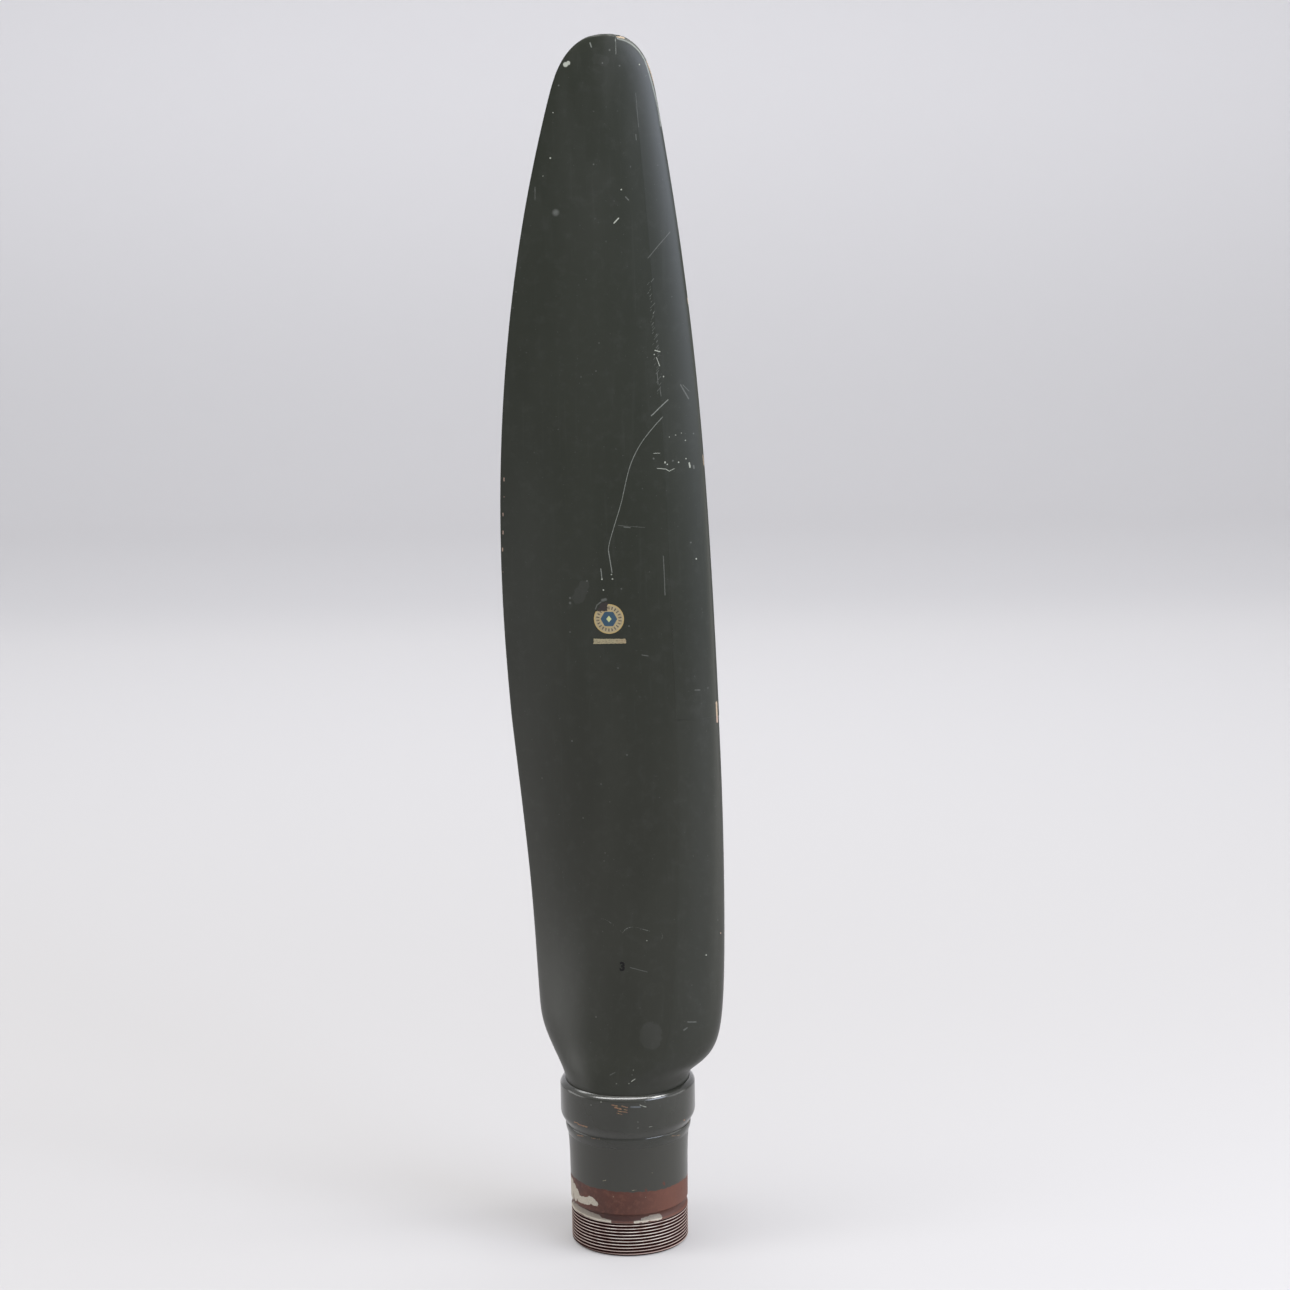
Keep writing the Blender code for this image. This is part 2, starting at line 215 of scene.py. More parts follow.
# Pale seamless studio: a floor that rises into a wall far behind. Near the blade the floor paper glows,
# painted light that fills the shadows round the foot
studio = {
    "halfWidth": 12, "front": -9, "bend": ((4.6, 1.6), (1.6, 1.6), -90, 0, 24), "top": 7,
    "rough": 0.9, "shine": 0.1, "wallFrom": (0, 1.2),
    "floorPaper": (0.3745, 0.3669, 0.3679), "floorGlow": (0.187, 0.1835, 0.184),
    "farPaper": (0.648, 0.64, 0.648), "farFrom": (0.5, 3.2),
    "bendPaper": (0.61, 0.604, 0.616), "wallPaper": (0.77, 0.762, 0.777), "farEdge": (3.25, 3.85),
    "sky": (0.97, 0.97, 1), "skyStrength": 0.55}


def makeStudio():
    s = studio
    bend = arc(*s["bend"])
    outline = [(s["front"], 0.0), *bend, (bend[-1][0], s["top"])]
    bm = bmesh.new()
    rows = [[bm.verts.new((x, y, z)) for x in (-s["halfWidth"], s["halfWidth"])] for y, z in outline]
    for low, high in zip(rows, rows[1:]):
        bm.faces.new((low[0], low[1], high[1], high[0]))
    mesh = meshFrom(bm, "studioFloor")
    mesh.shade_smooth()
    floor = linked("studioFloor", mesh)
    material, place = newMaterial("studioPaper")
    back = place.axis("Y")
    tone = back.step(*s["farFrom"]).blend(s["floorPaper"], s["farPaper"])
    # painted shade: the paper is made darker round the bend and lighter again up the wall
    wall = place.axis("Z").step(*s["wallFrom"]).blend(s["bendPaper"], s["wallPaper"])
    tone = back.step(*s["farEdge"]).blend(tone, wall)
    # painted light: the floor near the blade glows, lifting the shadows round the foot
    glow = back.step(*s["farFrom"]).blend(s["floorGlow"], (0.0, 0.0, 0.0))
    feed(material, tone, s["rough"], Specular_IOR_Level=s["shine"], Emission_Color=glow,
         Emission_Strength=1.0)
    mesh.materials.append(material)


lamps = {
    "key": {"at": (1.75, -0.45, 2.9), "aim": (0, 0, 0.3), "size": (1.1, 0.8), "power": 36},
    "sideRight": {"at": (2.35, -1.8, 1.75), "aim": (0, 0, 1.1), "size": (1.8, 1.1), "power": 54,
                  "tint": (0.86, 0.93, 1.12)},
    "lowRight": {"at": (2.4, 0, 0.5), "aim": (0, 0, 0.5), "size": (1.6, 0.9), "power": 9},
    "lowLeft": {"at": (-2.3, 0.32, 0.42), "aim": (0, 0.32, 0.42), "size": (1.65, 0.8), "power": 9.6},
    "overhead": {"at": (-0.6, -0.45, 3.3), "aim": (-0.6, -0.45, 0), "size": (3.4, 0.8), "power": 69},
    "backdrop": {"at": (0, 2.8, 4.6), "aim": (0, 3.2, 0), "size": (7, 1.4), "power": 110},
}


def makeLamps():
    for name, lamp in lamps.items():
        data = bpy.data.lights.new(name, "AREA")
        data.shape = "RECTANGLE"
        data.size, data.size_y = lamp["size"]
        data.energy = lamp["power"]
        data.color = lamp.get("tint", (1, 1, 1))
        item = linked(name, data)
        item.location = lamp["at"]
        direction = Vector(lamp["aim"]) - Vector(lamp["at"])
        item.rotation_euler = direction.to_track_quat("-Z", "Y").to_euler()
    world = bpy.data.worlds.new("studioWorld")
    world.use_nodes = True
    background = world.node_tree.nodes["Background"]
    background.inputs["Color"].default_value = (*studio["sky"], 1.0)
    background.inputs["Strength"].default_value = studio["skyStrength"]
    bpy.context.scene.world = world
    bpy.context.scene.view_settings.view_transform = "Standard"


cameraPlace = makeCamera()
makeStudio()
makeLamps()
print("camera, studio and lamps made")


# Places on the part, found by a line of sight
def meshTree(mesh):
    corners = [vertex.co.copy() for vertex in mesh.vertices]
    return BVHTree.FromPolygons(corners, [list(face.vertices) for face in mesh.polygons])


solids = {name: meshTree(node.data) for name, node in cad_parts.items()}


def hitFrom(start, direction):  # (distance, point, normal, node) of the nearest solid, or None
    hits = []
    for name, tree in solids.items():
        point, normal, face, distance = tree.ray_cast(start, direction)
        if point is not None:
            hits.append((distance, point, normal, name))
    return min(hits, key=lambda hit: hit[0]) if hits else None


# A pixel just off the blade's edge moves in towards its middle, by a shift at a time
edgeSearch = {"tries": 12, "shift": 0.6, "middle": 615}


def fromPhoto(x, y):  # the place on the part that shows at a pixel of the photograph
    v, e = cameraView, edgeSearch
    start = cameraPlace.translation
    half = v["frame"] / 2
    for i in range(e["tries"]):
        across = x + i * e["shift"] * (1 if x < e["middle"] else -1)
        sight = Vector((across - half, half - y, -v["focal"]))
        hit = hitFrom(start, (cameraPlace.to_3x3() @ sight).normalized())
        if hit:
            return hit
    raise ValueError("no part of the blade shows at " + str((x, y)))


# Marks in the finish, by tone: each is its half width in mm and its line, or dot, in pixels of the photo
blemishes = {
    "pale": [  # down to the pale filler
        (2.7, (565.5, 64.5)), (2.2, (568.3, 63)), (0.9, (550.3, 158)), (0.5, (543, 176)),
        (0.6, (553, 112.6)), (0.8, (639.5, 64.5)), (0.7, (614, 223), (618.5, 218.3)),
        (0.8, (621.3, 189.5)), (0.4, (653.6, 313)), (0.4, (657, 335)), (0.5, (655, 350.4), (660, 351.7)),
        (0.6, (654.3, 354.5)), (0.35, (656.5, 357.5), (658, 361.5), (659.7, 366)), (0.8, (663.6, 376.5)),
        (0.6, (675.7, 435)), (0.5, (681.4, 433)), (0.7, (685.4, 440.3)), (0.5, (669.3, 437)),
        (0.28, (653.6, 453.4), (660, 453)), (1.1, (665, 462.4)), (0.8, (667.3, 464.4)),
        (0.8, (678.6, 462.2)), (0.7, (686, 458.6)), (0.35, (657, 468.3), (665.7, 469), (668.6, 470.7)),
        (0.3, (669, 471.3), (674.3, 468.6)), (0.9, (689.3, 463), (690, 467)), (0.8, (611.4, 574.5)),
        (0.9, (612.5, 579)), (0.9, (602, 579.3)), (0.9, (603.4, 590)), (0.9, (696.3, 558.8)),
        (0.6, (633.3, 1070)), (0.45, (632, 1075)), (0.4, (635, 1079), (631.5, 1081.5)),
        (0.6, (629, 1083.6)), (0.5, (616.3, 1083.8)), (0.8, (706.3, 955)), (0.6, (646.8, 940.8)),
    ],
    "line": [  # fine scratches, bright but still in the paint
        (0.38, (662.5, 417), (651, 430), (640, 445), (631.3, 462.5), (626.3, 480), (621.3, 502.5),
         (613.8, 527.5), (609.5, 542.5), (608.3, 550)), (0.5, (608.3, 550), (610.8, 565), (612, 572.5)),
        (0.55, (668, 399.8), (660, 407.3), (651.5, 415.7)), (0.5, (600.8, 568.8), (602, 579)),
        # the next stroke, round the tip and down the leading edge, is partly wear and partly a painted
        # highlight of the rounded nose
        (0.9, (617.5, 38.5), (626, 41), (634, 46), (640.5, 53), (645.5, 62), (650, 76), (654, 91),
         (658, 108), (661, 126)), (0.8, (615.6, 36), (615.7, 41)), (0.3, (615.8, 42), (615.9, 54)),
        (0.6, (590, 43), (591.4, 47)), (0.25, (601.3, 918.8), (606.3, 920), (616.3, 927.5), (622.5, 933)),
        (0.32, (622.5, 933), (626.3, 928.8), (633.8, 927), (643.8, 929.5), (650, 931.3)),
        (0.28, (653.8, 928.8), (660, 931.3), (662.5, 936.3), (660, 941.3)),
    ],
    "grey": [  # scuffs that stay in the paint
        (0.2, (635.7, 93), (638.6, 127)), (0.4, (635.8, 134.5), (636.3, 140)),
        (0.4, (610, 1075), (615, 1072.5)), (0.4, (670, 232), (658, 246), (648, 258)),
        (0.7, (680.7, 385), (688.6, 398.6)), (0.4, (683, 385), (689, 391)),
        (0.4, (657.3, 373), (658, 384)), (0.4, (660, 388), (661, 396)), (0.25, (618, 525.5), (645, 527.5)),
        (0.6, (624, 527), (630, 527.6)), (1, (653.6, 458.6)), (0.9, (672.9, 460.7)),
        (0.9, (693.6, 465.7), (694, 468)), (0.7, (662.9, 435)),
        (0.45, (663.3, 556), (664.4, 577), (665, 595)), (0.8, (693.6, 433.6)),
        (0.35, (535, 187), (535, 200)), (3.3, (555.7, 212.6)), (1, (609.6, 50)), (0.8, (602.4, 63)),
        (0.8, (619.6, 65.7)), (0.7, (593.6, 164.3)), (0.8, (558.6, 85.4)),
        (0.6, (625.7, 197), (628.6, 200)), (0.6, (516, 292)), (0.6, (513, 308)), (0.6, (599, 343)),
        (0.6, (596, 371)), (0.6, (581, 377)), (1.1, (570, 598)), (1.3, (570, 603)), (0.9, (587, 581)),
        (0.8, (621.3, 588.8)), (1.5, (602.5, 600.3), (605.5, 599.5)),
        (0.6, (601, 602), (597, 605), (595.5, 609)), (0.8, (629, 626)), (0.7, (618, 668)),
        (0.5, (642, 655), (648, 656)), (0.9, (572, 741)), (0.9, (627, 755)), (0.8, (570, 632)),
        (0.5, (695, 690), (700, 690)), (0.7, (708, 688)), (0.7, (542, 778)), (0.7, (601, 784)),
        (0.8, (583, 818)), (0.6, (605, 853)), (0.6, (604, 861)), (0.35, (630, 967.5), (647.5, 972)),
        (0.8, (690.8, 542.5)), (0.8, (596, 1017)), (0.7, (688, 1022), (696, 1022)),
        (0.8, (684, 1030), (687, 1028)), (0.7, (718, 920)),
    ],
    "bare": [  # down to the wood or brass
        (0.9, (617, 36.5), (624, 38)), (0.8, (649, 61), (652.5, 72), (656, 85)), (0.9, (720.8, 933)),
        (0.6, (703, 455), (704, 465)), (0.5, (688, 298), (689, 304)),
        (1.5, (716.6, 702.5), (717.4, 721.5)), (0.5, (504, 478), (504, 481)), (0.5, (504, 497)),
        (0.5, (503, 513), (503, 516)), (0.6, (503, 531), (503, 534)), (0.6, (502.5, 548), (502.5, 551)),
        (0.5, (503, 572)),
    ],
    "residue": [
        (4.6, (603.5, 606.5)), (2.8, (600, 610), (606, 610)), (2.6, (606, 604.5)),
    ],
    "spot": [
        (13.5, (650.5, 1034), (650.5, 1038)), (6, (597, 59), (604, 61)), (7, (578, 598), (584, 586)),
    ],
}

# A row of fine slanting ticks down the blade, where something rubbed along it
ticks = {
    "first": (649, 282), "last": (658.5, 394), "count": 40, "spread": 2.4, "long": (1.2, 3.6),
    "slant": 0.8, "halfWidth": (0.14, 0.34), "seed": 23}


def tickStrokes():
    t = ticks
    chance = random.Random(t["seed"])
    strokes = []
    for i in range(t["count"]):
        share = i / (t["count"] - 1)
        x = t["first"][0] + (t["last"][0] - t["first"][0]) * share + chance.uniform(-1, 1) * t["spread"]
        y = t["first"][1] + (t["last"][1] - t["first"][1]) * share
        rise = chance.uniform(*t["long"])
        strokes.append((chance.uniform(*t["halfWidth"]), (x, y), (x + rise * t["slant"], y - rise)))
    return strokes


blemishes["grey"] += tickStrokes()

# Chips on the metal rings, on the same terms
ringChips = {
    "pale": [
        (0.6, (601, 1102)), (0.5, (591, 1105)), (0.4, (638, 1122)), (0.4, (638, 1128)),
        (0.25, (649, 1127), (652, 1126.5)), (0.35, (645, 1102)), (0.4, (640, 1105), (646, 1107)),
    ],
    "grey": [
        (0.9, (631, 1107), (640, 1107)), (0.4, (660, 1106)), (0.4, (668, 1101)),
    ],
    "rust": [
        (0.8, (615, 1107.5), (621, 1109)), (0.6, (612, 1105), (617, 1106)),
        (0.5, (618, 1111), (627, 1112.5)), (0.7, (622, 1106), (627, 1107.5)),
        (0.4, (617, 1113), (622, 1114.5)), (0.5, (624, 1109.5), (627, 1110)),
        (0.8, (578, 1124), (587, 1127)), (0.5, (574, 1122), (578, 1123)), (0.8, (684, 1120), (688, 1122)),
        (0.6, (577, 1135), (583, 1136)), (0.6, (592, 1138), (600, 1139)), (0.4, (672, 1136), (680, 1135)),
    ],
}

# The paint on the sleeve, worn through in flakes
sleeveFlakes = {
    "bare": [
        (5.5, (570.8, 1180), (570.8, 1196)), (5.5, (572.4, 1182), (572.6, 1196)),
        (5, (574.6, 1187), (575.4, 1197)), (4.6, (577, 1192), (579, 1198.5)),
        (4.6, (581, 1199.5), (588, 1201)), (4.4, (590, 1199.5), (593, 1201.5)),
        (3, (593, 1203), (596, 1203.5)), (4.6, (571.4, 1204), (573, 1207)),
        (4.2, (575, 1206.5), (585, 1212)), (4, (586, 1213), (598, 1218)),
        (3, (600, 1219.5), (609, 1222)), (2, (612, 1223.5), (617, 1224)),
        (1.6, (635, 1222), (640, 1221.5)), (3, (643, 1220.5), (650, 1218.5)),
        (3.9, (651, 1218), (659, 1216.8)),
    ],
    "pale": [
        (0.5, (613, 1197)), (0.45, (646, 1197)), (0.3, (603, 1181), (606, 1180)), (0.4, (652, 1173)),
        (0.25, (632, 1190.5), (636, 1190)),
    ],
}


def bent(pixels, steps=3):  # a smooth line through the given pixels
    if len(pixels) < 4:
        return pixels
    places = [Vector(pixel) for pixel in pixels]
    line = [places[0]]
    for i in range(len(places) - 1):
        a, b, c, d = places[max(i - 1, 0)], places[i], places[i + 1], places[min(i + 2, len(places) - 1)]
        for k in range(1, steps + 1):
            t = k / steps
            line.append(b + (c - a) * (t / 2) + (a * 2 - b * 5 + c * 4 - d) * (t * t / 2)
                        + (b * 3 - a - c * 3 + d) * (t ** 3 / 2))
    return line


# The strokes that lie on a node, as (half width, places)
def strokesOn(nodeName, strokes):
    found = []
    for halfWidth, *pixels in strokes:
        hits = [fromPhoto(*pixel) for pixel in bent(pixels)]
        if any(hit[3] == nodeName for hit in hits):
            found.append((halfWidth * mm, [hit[1] for hit in hits]))
    return found


# The share inside the strokes, 0 outside: each stroke is a chain of capsules round straight lines
def strokeMask(place, nodeName, strokes, soft, share):
    farAway = 10.0
    nearest = Wire(place.tree).make("ShaderNodeValue")
    nearest.socket.default_value = farAway
    for halfWidth, points in strokesOn(nodeName, strokes):
        for start, end in zip(points, points[1:] or points):
            along = end - start
            if along.length:
                offset = place.vector("SUBTRACT", start)
                reached = offset.vector("DOT_PRODUCT", along / along.length_squared, output=1)
                reached = reached.make("ShaderNodeClamp", None, {0: reached})
                foot = reached.make("ShaderNodeVectorMath", {"operation": "SCALE"},
                                    {0: along, "Scale": reached})
                distance = offset.vector("DISTANCE", foot, output=1)
            else:
                distance = place.vector("DISTANCE", start, output=1)
            nearest = nearest.atMost(distance * (1 / halfWidth))
    return nearest.step(1 + soft, 1 - soft, share)


# A mask for each tone of the marks
def strokeMasks(place, nodeName, marks, kinds):
    return {tone: strokeMask(place, nodeName, marks[tone], *kind) for tone, kind in kinds.items()}


# Colours of the marks
tones = {
    "residue": (0.031, 0.0235, 0.0215), "pale": (0.34, 0.355, 0.295), "grey": (0.13, 0.135, 0.12),
    "line": (0.195, 0.205, 0.18), "bare": (0.37, 0.26, 0.2), "brass": (0.38, 0.29, 0.2),
    "rust": (0.3, 0.1, 0.055), "ochre": (0.36, 0.23, 0.09)}

# Satin olive paint of the blade, over wood and sheath alike. Here and below a step is (low, high, share), a
# noise is (scale, seed, detail, roughness) and then its step, and marks are (softness, share)
blade = {
    "olive": (0.0172, 0.0184, 0.012), "faded": (0.0225, 0.0236, 0.0166), "fadedFrom": (0.38, 0.64),
    # the near-black tint darkens the upper blade, as painted shade
    "upperShade": (0.0033, 0.009, 0.001), "upperShadeFrom": (0.5, 0.95, 0.3), "dustAndSheen": (0.085, 0.085, 0.08),
    "slow": (11, 3, 4, 0.55), "fine": (260, 8, 3, 0.6), "streak": (150, 5, 3, 0.6, 0.56, 0.72, 0.05),
    "slowLong": (1, 1, 0.3), "streakLong": (1, 1, 0.05), "waveLong": (1, 1, 0.35),
    "speck": (340, 12, 2, 0.5, 0.7, 0.75, 0.5), "haze": (75, 17, 4, 0.65, 0.48, 0.75, 0.085),
    "tipFrom": (1.15, 1.43, 0.22), "tipPatch": (0.35, 0.65), "edgeFrom": (-0.045, -0.125, 0.13),
    "edgeBelow": (1.15, 0.75), "edgeAbove": (0.42, 0.55), "wave": (26, 21, 1, 0.5),
    "peel": (520, 22, 1, 0.5), "shake": (900, 1.1, 4), "broken": (1500, 14, 2, 0.6, 0.28, 0.42),
    "marks": {"grey": (0.6, 1), "line": (0.5, 1), "pale": (0.25, 1), "bare": (0.25, 1),
              "residue": (0.3, 0.85)},
    "spotShake": (160, 9, 15), "spot": (0.12, 0.19), "spotPatch": (0.2, 0.75),
    "greyShare": (0.25, 0.7), "lineShare": (0.4, 0.9),
    "satin": 0.3, "roughBy": {"slow": 0.1, "dustAndSheen": 0.25, "fine": 0.06, "worn": 0.25, "grey": 0.1},
    "bumpBy": {"wave": 1.2, "peel": 0.03, "worn": -0.35, "grey": -0.05}, "bumpDepth": 0.15,
    "shine": 0.42}

# Bare wood at the root's end: boards 19 mm thick with glue between them
wood = {
    "grain": (0.16, 0.085, 0.04), "grainDark": (0.07, 0.032, 0.014), "glue": (0.03, 0.012, 0.006),
    "board": 0.019, "glueFrom": (0.06, 0, 0.8), "fibre": (420, 16, 4, 0.6, 0.35, 0.7),
    "fibreLong": (1, 0.12, 1), "from": (0.1905, 0.1895)}


def woodColor(place):
    board = (place.axis("X") / wood["board"]).calc("FRACT")
    fibre = place.stretched(*wood["fibreLong"]).noise(*wood["fibre"])
    color = fibre.blend(wood["grain"], wood["grainDark"])
    return board.step(*wood["glueFrom"]).blend(color, wood["glue"])


def paintedBlade(name, nodeName, underneath):
    look = blade
    material, place = newMaterial(name)
    x, height = place.axis("X"), place.axis("Z")
    slow, fine = place.stretched(*look["slowLong"]).noise(*look["slow"]), place.noise(*look["fine"])
    streak = place.stretched(*look["streakLong"]).noise(*look["streak"])
    tip = height.step(*look["tipFrom"]) * slow.step(*look["tipPatch"])
    # painted reflection: the left edge, from 0.42 to 1.15 m up, is made lighter with the dust colour
    edge = x.step(*look["edgeFrom"]) * height.step(*look["edgeBelow"]) * height.step(*look["edgeAbove"])
    dustAndSheen = place.noise(*look["speck"]) + streak + place.noise(*look["haze"]) + tip + edge
    color = slow.step(*look["fadedFrom"]).blend(look["olive"], look["faded"])
    # painted shade: the paint is made darker towards the tip, from 0.5 m up
    color = height.step(*look["upperShadeFrom"]).blend(color, look["upperShade"])
    # the dust colour carries specks, streaks and haze of dust, and the painted reflection of the left edge
    color = dustAndSheen.blend(color, look["dustAndSheen"])
    spot = strokeMask(place.ragged(*look["spotShake"]), nodeName, blemishes["spot"], *look["spot"])
    color = (spot * slow.step(*look["spotPatch"])).blend(color, look["dustAndSheen"])
    masks = strokeMasks(place.ragged(*look["shake"]), nodeName, blemishes, look["marks"])
    color = masks["residue"].blend(color, tones["residue"])
    for tone in ("grey", "line"):
        least, more = look[tone + "Share"]
        color = (masks[tone] * (least + fine * more)).blend(color, tones[tone])
    broken = place.noise(*look["broken"])
    pale, bare = masks["pale"] * broken, masks["bare"] * broken
    color = bare.blend(pale.blend(color, tones["pale"]), tones[underneath])
    if nodeName == "blade_body":
        color = height.step(*wood["from"]).blend(color, woodColor(place))
    wave = place.stretched(*look["waveLong"]).noise(*look["wave"])
    parts = {"slow": slow, "fine": fine, "dustAndSheen": dustAndSheen, "worn": pale.atLeast(bare), "grey": masks["grey"],
             "wave": wave, "peel": place.noise(*look["peel"])}
    feed(material, color, summed(parts, look["roughBy"], look["satin"]), summed(parts, look["bumpBy"]),
         look["bumpDepth"], Specular_IOR_Level=look["shine"])
    return material


# The outer rim of a piece, let out along its skin until it almost meets the piece beside it
joint = {"reach": 2.5, "left": 0.03, "lift": 0.02, "alike": 0.5}


def closeJoint(bm):
    shifts = []
    for vertex in bm.verts:
        outside = [face.normal for face in vertex.link_faces
                   if hitFrom(vertex.co + face.normal * (joint["lift"] * mm), face.normal) is None]
        if not outside or len(outside) == len(vertex.link_faces):
            continue
        skin = sum(outside, Vector()).normalized()
        for face in vertex.link_faces:
            if face.normal.dot(skin) < joint["alike"]:
                along = (face.normal - skin * face.normal.dot(skin)).normalized()
                hit = hitFrom(vertex.co + (along - skin) * (joint["lift"] * mm), along)
                if hit and hit[0] < joint["reach"] * mm:
                    shifts.append((vertex, along * (hit[0] - joint["left"] * mm)))
                    break
    for vertex, shift in shifts:
        vertex.co += shift
    print("rim closed at", len(shifts), "corners")


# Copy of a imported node, rounded by subdivision and creased at its real edges
rounding = {"merge": 2e-6, "flat": 25, "sharp": 32, "levels": 2}


def smoothCopy(nodeName, name, material, closed=False):
    bm = welded(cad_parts[nodeName].data, rounding["merge"])
    bmesh.ops.join_triangles(bm, faces=bm.faces, angle_face_threshold=math.radians(rounding["flat"]),
                             angle_shape_threshold=math.pi)
    if closed:
        closeJoint(bm)
    crease = bm.edges.layers.float.new("crease_edge")
    for edge in bm.edges:
        hard = len(edge.link_faces) == 2 and edge.calc_face_angle() > math.radians(rounding["sharp"])
        edge[crease] = 1.0 if hard else 0.0
        edge.smooth = not hard
    lift = joint["lift"] * mm
    isOpen = bm.faces.layers.int.new("isOpen")
    for face in bm.faces:
        face.smooth = True
        face[isOpen] = hitFrom(face.calc_center_median() + face.normal * lift, face.normal) is None
    mesh = meshFrom(bm, name)
    mesh.materials.append(material)
    piece = linked(name, mesh)
    subdivision = piece.modifiers.new("rounding", "SUBSURF")
    subdivision.levels = subdivision.render_levels = rounding["levels"]
    rounded = finalMesh(piece)
    piece.modifiers.clear()
    piece.data = rounded
    return piece


# Shading that runs on across the joint of two flush skins, from the mean facing near each corner
sharedSkin = {"reach": 15, "spread": 8, "widest": 1.6, "alike": 0.5}


def meanFacing(sides, place, normal, otherTree):  # (mean facing, share) near the other skin, or None
    reach, spread = sharedSkin["reach"] * mm, sharedSkin["spread"] * mm
    share = 1 - otherTree.find(place)[2] / reach
    if share <= 0:
        return None
    mean = Vector()
    for mesh, faces, tree in sides:
        for point, index, distance in tree.find_range(place, spread * sharedSkin["widest"]):
            if faces[index].normal.dot(normal) > sharedSkin["alike"]:
                weight = faces[index].area * math.exp(-(distance / spread) ** 2)
                mean += faces[index].normal * weight
    return mean.normalized(), share * share * (3 - 2 * share)


def shareShading(pieces):
    sides = []
    for piece in pieces:
        marked = piece.data.attributes["isOpen"].data
        faces = [face for face in piece.data.polygons if marked[face.index].value]
        tree = KDTree(len(faces))
        for index, face in enumerate(faces):
            tree.insert(face.center, index)
        tree.balance()
        sides.append((piece.data, faces, tree))
    for side, other in zip(sides, sides[::-1]):
        mesh, faces = side[:2]
        facing = [Vector(item.vector) for item in mesh.corner_normals]
        known = {}
        for face in faces:
            for corner in face.loop_indices:
                vertex = mesh.loops[corner].vertex_index
                if vertex not in known:
                    known[vertex] = meanFacing(sides, mesh.vertices[vertex].co, face.normal, other[2])
                if known[vertex]:
                    mean, share = known[vertex]
                    facing[corner] = facing[corner].lerp(mean, share).normalized()
        mesh.attributes.remove(mesh.attributes["isOpen"])
        mesh.normals_split_custom_set(facing)


bladeSkin = smoothCopy("blade_body", "bladeSkin", paintedBlade("bladePaint", "blade_body", "bare"))
edgeSheath = smoothCopy("leading_edge_sheath", "edgeSheath",
                        paintedBlade("sheathPaint", "leading_edge_sheath", "brass"), closed=True)
shareShading([bladeSkin, edgeSheath])
bind(bladeSkin, "blade_body")
bind(edgeSheath, "leading_edge_sheath")
print("blade and sheath painted")


# Thin closed sheets laid on the painted skin, from a flat pattern in mm
sheet = {"under": 0.03, "over": 0.16, "reach": 20}

skin = meshTree(bladeSkin.data)


def laying(pixel, turn):  # how a flat place (u, v, height), in mm, lands on the skin round a pixel
    middle, normal = fromPhoto(*pixel)[1:3]
    level = cameraPlace.to_3x3() @ Vector((1, 0, 0))
    level = (level - normal * level.dot(normal)).normalized()
    upright = normal.cross(level)
    cosine, sine = math.cos(math.radians(turn)), math.sin(math.radians(turn))
    across, along = level * cosine + upright * sine, upright * cosine - level * sine

    def land(u, v, height):
        start = middle + (across * u + along * v + normal * sheet["reach"]) * mm
        point, facing = skin.ray_cast(start, -normal)[:2]
        return point + facing * (height * mm)
    return land


def closedSheet(name, flat, faces, land, material):
    bm = bmesh.new()
    uv = bm.loops.layers.uv.new("flat")
    top = [bm.verts.new(land(u, v, sheet["over"])) for u, v in flat]
    bottom = [bm.verts.new(land(u, v, sheet["under"])) for u, v in flat]
    where = dict(zip(top + bottom, flat + flat))
    edges = set()
    for corners in faces:
        bm.faces.new([top[i] for i in corners])
        bm.faces.new([bottom[i] for i in reversed(corners)])
        edges.update(zip(corners, corners[1:] + corners[:1]))
    for first, second in sorted(edges):
        if (second, first) not in edges:
            bm.faces.new((top[second], top[first], bottom[first], bottom[second]))
    for face in bm.faces:
        for loop in face.loops:
            loop[uv].uv = where[loop.vert]
    loose = [vertex for vertex in bm.verts if not vertex.link_faces]
    bmesh.ops.delete(bm, geom=loose, context="VERTS")
    finishPiece(bm, name, material)


def finishPiece(bm, name, material):
    mesh = meshFrom(bm, name)
    mesh.materials.append(material)
    piece = linked(name, mesh)
    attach(piece, "root")


# Faces of a grid of corners, counted along its rows; round a ring the last column joins the first
def grid(rows, columns, kept=lambda i, j: True, around=False):
    last = columns if around else columns - 1
    return [(i * columns + j, i * columns + (j + 1) % columns,
             (i + 1) * columns + (j + 1) % columns, (i + 1) * columns + j)
            for i in range(rows - 1) for j in range(last) if kept(i, j)]


# Round label: pale ring with plain marks round a blue hexagon, its upper left torn away
label = {
    "middle": (608.9, 619), "radius": 17.4, "hub": 0.4, "rings": 26, "sectors": 150, "seed": 5,
    "tear": (-1.3, 8.9), "tearRough": 0.5, "cream": (0.356, 0.292, 0.166),
    "stain": (0.285, 0.228, 0.127), "stainPatch": (0.25, 62, 3, 0.6, 0.3, 0.7),
    "fine": (1.6, 61, 3, 0.6), "print": (0.055, 0.042, 0.032), "marks": 22, "markWidth": (0.24, 0.17),
    "markFrom": (10.9, 11.3), "markTo": (14.9, 14.5), "markWear": (0.3, 0.55), "gold": (0.385, 0.28, 0.11),
    "rimFrom": (16, 16.3), "innerRimFrom": (9.4, 9.6), "innerRimTo": (10.3, 10.1),
    "blue": (0.0235, 0.0635, 0.0955), "blueWorn": (0.0195, 0.0505, 0.0855), "blueWear": (0.3, 0.75),
    "hexagon": (8.6, 8.3),
    "diamond": (0.45, 0.47, 0.22), "diamondSize": (3.2, 2.9), "diamondTall": 0.8,
    "scuff": (0.2, 0.17, 0.12), "scuffPatch": (0.9, 63, 4, 0.7, 0.62, 0.72, 0.5), "matt": 0.42,
    "mattBy": 0.15, "bumpDepth": 0.02}


